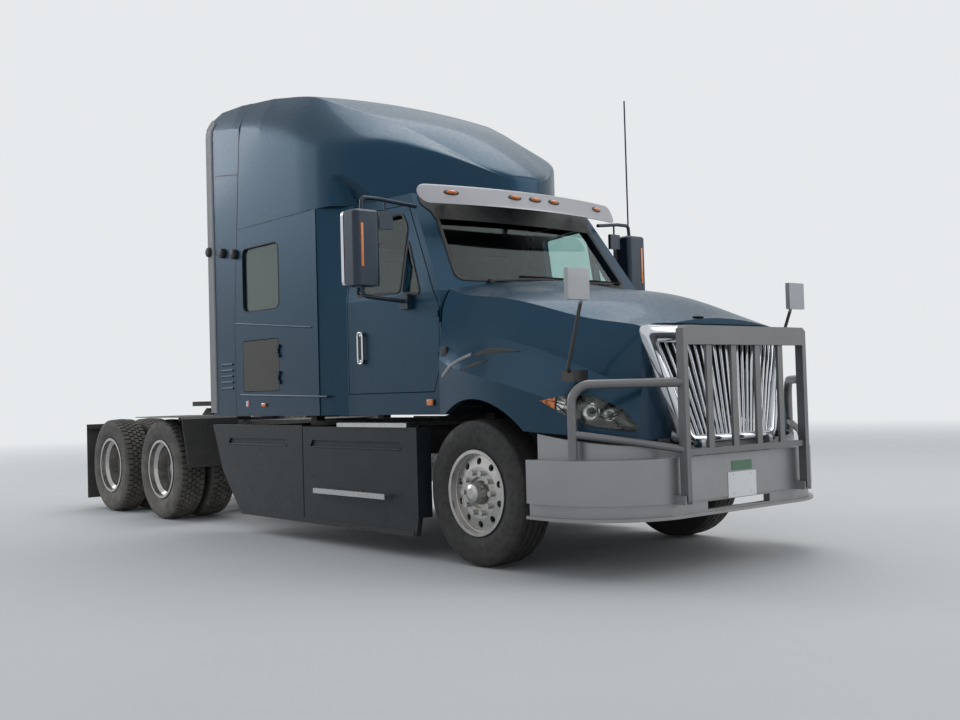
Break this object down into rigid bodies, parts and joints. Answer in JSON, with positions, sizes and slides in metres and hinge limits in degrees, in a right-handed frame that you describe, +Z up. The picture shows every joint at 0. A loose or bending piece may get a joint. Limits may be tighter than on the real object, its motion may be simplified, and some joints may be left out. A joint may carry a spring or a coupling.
{
  "type": "semi truck tractor unit",
  "caption": "Conventional highway tractor unit with high-roof sleeper, tandem driven axles, side skirts, tilting hood and grille guard; pulls a semi-trailer.",
  "frame": {"origin": "on the ground, under the middle of the overall length and width", "axes": "+X forward, +Y to the driver's side (left), +Z up"},
  "size_m": [8.455, 3.13, 3.9849],
  "materials": {
    "teal_paint": "metallic gloss",
    "skirt_paint": "satin",
    "frame_paint": "semi-gloss",
    "cast_metal": "rough",
    "core_metal": "finned, dark",
    "bright_metal": "polished",
    "brushed_metal": "satin",
    "bright_chrome": "mirror",
    "clear_glass": "tinted",
    "lamp_lens": "clear",
    "amber_lens": "clear moulded",
    "mirror_shell": "gloss",
    "fender_plastic": "matt",
    "cabin_plastic": "grained",
    "seat_cloth": "woven",
    "tyre_rubber": "matt"
  },
  "bodies": {
    "tractor": {"chassis_frame": "frame_paint", "engine_block": "cast_metal", "radiator": "core_metal", "front_axle": "cast_metal", "drive_axles": "cast_metal", "cab_shell": "teal_paint", "sleeper_shell": "teal_paint", "cab_glazing": "clear_glass", "cab_interior": "cabin_plastic", "seats": "seat_cloth", "roof_fairing": "teal_paint", "side_extenders": "teal_paint", "side_skirts": "skirt_paint", "step_treads": "bright_metal", "tanks": "bright_metal", "sun_visor": "brushed_metal", "lamps": "amber_lens", "rear_fenders": "fender_plastic", "bumper": "brushed_metal", "fifth_wheel_base": "cast_metal"},
    "coupler_plate": {"fifth_wheel": "cast_metal"},
    "hood_body": {"hood": "teal_paint", "headlamps": "lamp_lens", "grille": "bright_chrome", "hood_mirrors": "mirror_shell"},
    "guard_body": {"guard": "brushed_metal"},
    "door_body_right": {"door_right": "teal_paint", "door_glass_right": "clear_glass", "door_mirror_right": "mirror_shell"},
    "luggage_body_right": {"luggage_door_right": "teal_paint"},
    "knuckle_body_right": {"knuckle_right": "cast_metal"},
    "front_wheel_body_right": {"tyre_front_right": "tyre_rubber", "wheel_front_right": "bright_metal"},
    "first_drive_body_right": {"tyres_first_drive_right": "tyre_rubber", "wheels_first_drive_right": "bright_metal"},
    "second_drive_body_right": {"tyres_second_drive_right": "tyre_rubber", "wheels_second_drive_right": "bright_metal"},
    "door_body_left": {"door_left": "teal_paint", "door_glass_left": "clear_glass", "door_mirror_left": "mirror_shell"},
    "luggage_body_left": {"luggage_door_left": "teal_paint"},
    "knuckle_body_left": {"knuckle_left": "cast_metal"},
    "front_wheel_body_left": {"tyre_front_left": "tyre_rubber", "wheel_front_left": "bright_metal"},
    "first_drive_body_left": {"tyres_first_drive_left": "tyre_rubber", "wheels_first_drive_left": "bright_metal"},
    "second_drive_body_left": {"tyres_second_drive_left": "tyre_rubber", "wheels_second_drive_left": "bright_metal"}
  },
  "joints": [
    {"name": "door_right_swing", "type": "hinge", "parent": "tractor", "child": "door_body_right", "pos_m": [2.3325, -1.1, 1.9], "axis": [0, 0, 1], "range_deg": [0, 70]},
    {"name": "luggage_door_right_swing", "type": "hinge", "parent": "tractor", "child": "luggage_body_right", "pos_m": [0.2175, -1.21, 1.5], "axis": [0, 0, 1], "range_deg": [0, 85]},
    {"name": "steer_right", "type": "hinge", "parent": "tractor", "child": "knuckle_body_right", "pos_m": [2.7575, -0.93, 0.51], "axis": [0, 0, 1], "range_deg": [-32, 32]},
    {"name": "front_wheel_right_spin", "type": "hinge", "parent": "knuckle_body_right", "child": "front_wheel_body_right", "pos_m": [2.7575, -1.01, 0.51], "axis": [0, 1, 0], "continuous": true},
    {"name": "first_drive_right_spin", "type": "hinge", "parent": "tractor", "child": "first_drive_body_right", "pos_m": [-2.2185, -0.915, 0.51], "axis": [0, 1, 0], "continuous": true},
    {"name": "second_drive_right_spin", "type": "hinge", "parent": "tractor", "child": "second_drive_body_right", "pos_m": [-3.5385, -0.915, 0.51], "axis": [0, 1, 0], "continuous": true},
    {"name": "door_left_swing", "type": "hinge", "parent": "tractor", "child": "door_body_left", "pos_m": [2.3325, 1.1, 1.9], "axis": [0, 0, -1], "range_deg": [0, 70]},
    {"name": "luggage_door_left_swing", "type": "hinge", "parent": "tractor", "child": "luggage_body_left", "pos_m": [0.2175, 1.21, 1.5], "axis": [0, 0, -1], "range_deg": [0, 85]},
    {"name": "steer_left", "type": "hinge", "parent": "tractor", "child": "knuckle_body_left", "pos_m": [2.7575, 0.93, 0.51], "axis": [0, 0, 1], "range_deg": [-32, 32]},
    {"name": "front_wheel_left_spin", "type": "hinge", "parent": "knuckle_body_left", "child": "front_wheel_body_left", "pos_m": [2.7575, 1.01, 0.51], "axis": [0, 1, 0], "continuous": true},
    {"name": "first_drive_left_spin", "type": "hinge", "parent": "tractor", "child": "first_drive_body_left", "pos_m": [-2.2185, 0.915, 0.51], "axis": [0, 1, 0], "continuous": true},
    {"name": "second_drive_left_spin", "type": "hinge", "parent": "tractor", "child": "second_drive_body_left", "pos_m": [-3.5385, 0.915, 0.51], "axis": [0, 1, 0], "continuous": true},
    {"name": "hood_tilt", "type": "hinge", "parent": "tractor", "child": "hood_body", "pos_m": [4.0975, 0, 0.84], "axis": [0, 1, 0], "range_deg": [0, 60]},
    {"name": "guard_tilt", "type": "hinge", "parent": "tractor", "child": "guard_body", "pos_m": [4.1975, 0, 0.5], "axis": [0, 1, 0], "range_deg": [0, 81]},
    {"name": "coupler_tilt", "type": "hinge", "parent": "tractor", "child": "coupler_plate", "pos_m": [-2.7325, 0, 1.07], "axis": [0, 1, 0], "range_deg": [-12, 12]}
  ],
  "couplings": [
    {"joint": "steer_left", "follows": "steer_right", "ratio": 1},
    {"joint": "guard_tilt", "follows": "hood_tilt", "ratio": 1.35}
  ]
}
